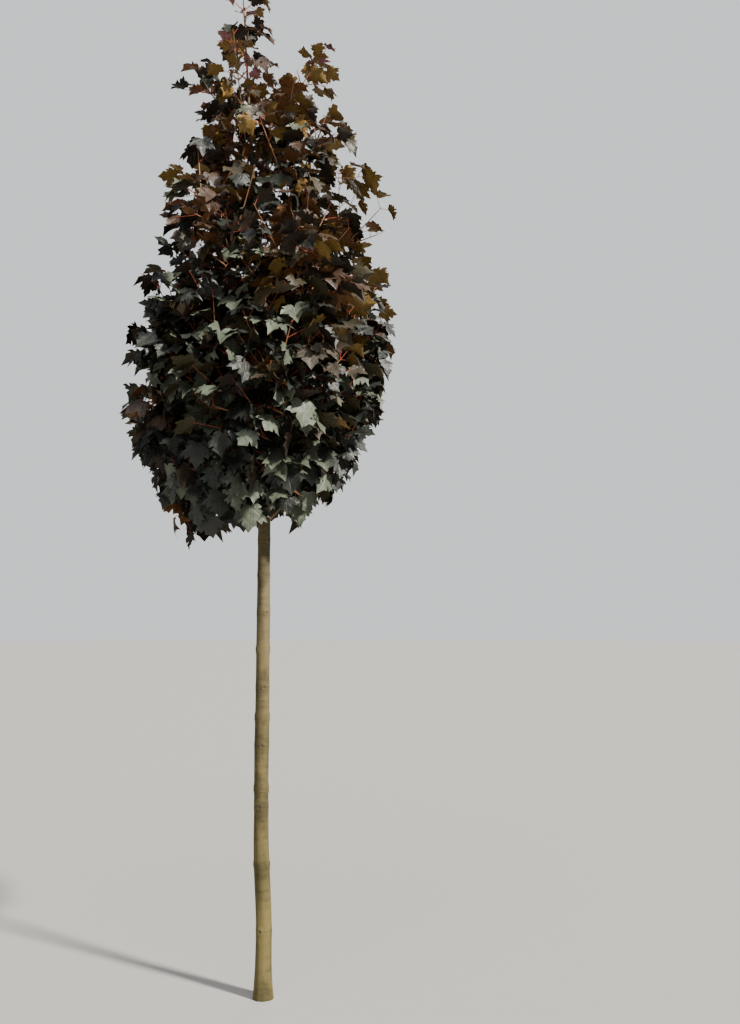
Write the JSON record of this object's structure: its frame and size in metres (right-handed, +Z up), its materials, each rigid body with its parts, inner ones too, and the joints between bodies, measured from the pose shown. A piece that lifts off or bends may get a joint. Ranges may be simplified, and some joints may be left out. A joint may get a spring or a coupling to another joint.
{
  "type": "young maple tree",
  "caption": "Young purple-leaved maple grown as a standard: a slender clear stem, paired ascending boughs and an egg-shaped leafy head, cut flat at ground level.",
  "frame": {"origin": "Middle of the flat cut under the trunk, at ground level.", "axes": "+Z runs up the tree; the clearest view of it is the one along +Y, with +X to the right."},
  "size_m": [1.2884, 1.1972, 4.5254],
  "materials": {
    "bark": "smooth olive-grey bark with faint rings and old pruning scars",
    "young_bark": "smooth brown young bark",
    "leaf": "thin, slightly glossy leaves, dark purple above and bronze below"
  },
  "bodies": {
    "root": {"trunk": "bark", "bough_01a": "young_bark", "bough_01b": "young_bark", "bough_02a": "young_bark", "bough_02b": "young_bark", "bough_03a": "young_bark", "bough_03b": "young_bark", "bough_04a": "young_bark", "bough_04b": "young_bark", "bough_05a": "young_bark", "bough_05b": "young_bark", "bough_06a": "young_bark", "bough_06b": "young_bark", "bough_07a": "young_bark", "bough_07b": "young_bark", "bough_08a": "young_bark", "bough_08b": "young_bark", "foliage_01a": "leaf", "foliage_01b": "leaf", "foliage_02a": "leaf", "foliage_02b": "leaf", "foliage_03a": "leaf", "foliage_03b": "leaf", "foliage_04a": "leaf", "foliage_04b": "leaf", "foliage_05a": "leaf", "foliage_05b": "leaf", "foliage_06a": "leaf", "foliage_06b": "leaf", "foliage_07a": "leaf", "foliage_07b": "leaf", "foliage_08a": "leaf", "foliage_08b": "leaf", "foliage_top": "leaf"}
  },
  "joints": []
}
